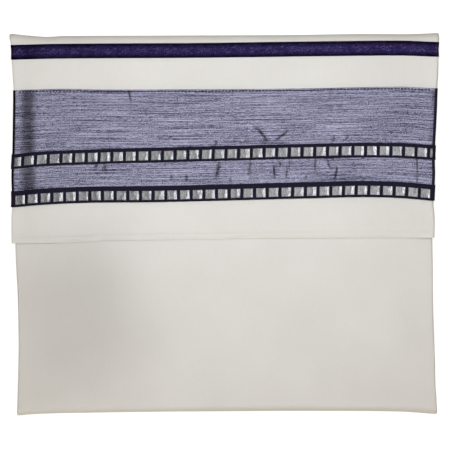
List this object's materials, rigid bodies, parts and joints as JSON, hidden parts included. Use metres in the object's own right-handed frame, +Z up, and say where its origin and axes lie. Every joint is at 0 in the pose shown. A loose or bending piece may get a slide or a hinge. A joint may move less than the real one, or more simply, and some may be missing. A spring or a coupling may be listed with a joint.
{
  "type": "tallit prayer shawl",
  "caption": "Ivory prayer shawl folded into a flat rectangular pack, its silk-banded and ribboned end turned over on top.",
  "frame": {"origin": "middle of the underside, on the surface that the folded shawl lies on", "axes": "+X along the stripes, to the right in the picture; +Y towards the folded end, up in the picture; +Z up out of the pack"},
  "size_m": [0.3675, 0.3278, 0.0256],
  "materials": {
    "inner_cloth": "matt plain-woven ivory cloth",
    "ivory_cloth": "matt plain-woven ivory cloth",
    "shot_silk": "slubby navy and silver-blue shot silk with a soft sheen",
    "square_ribbon": "navy woven ribbon with silver thread squares",
    "navy_jacquard": "navy satin ribbon with a tone-on-tone woven figure"
  },
  "bodies": {
    "root": {"hidden_layers": "inner_cloth", "front_panel": "ivory_cloth", "flap_under_layers": "inner_cloth", "flap": "ivory_cloth", "silk_band": "shot_silk", "upper_square_ribbon": "square_ribbon", "lower_square_ribbon": "square_ribbon", "navy_ribbon": "navy_jacquard"}
  },
  "joints": []
}
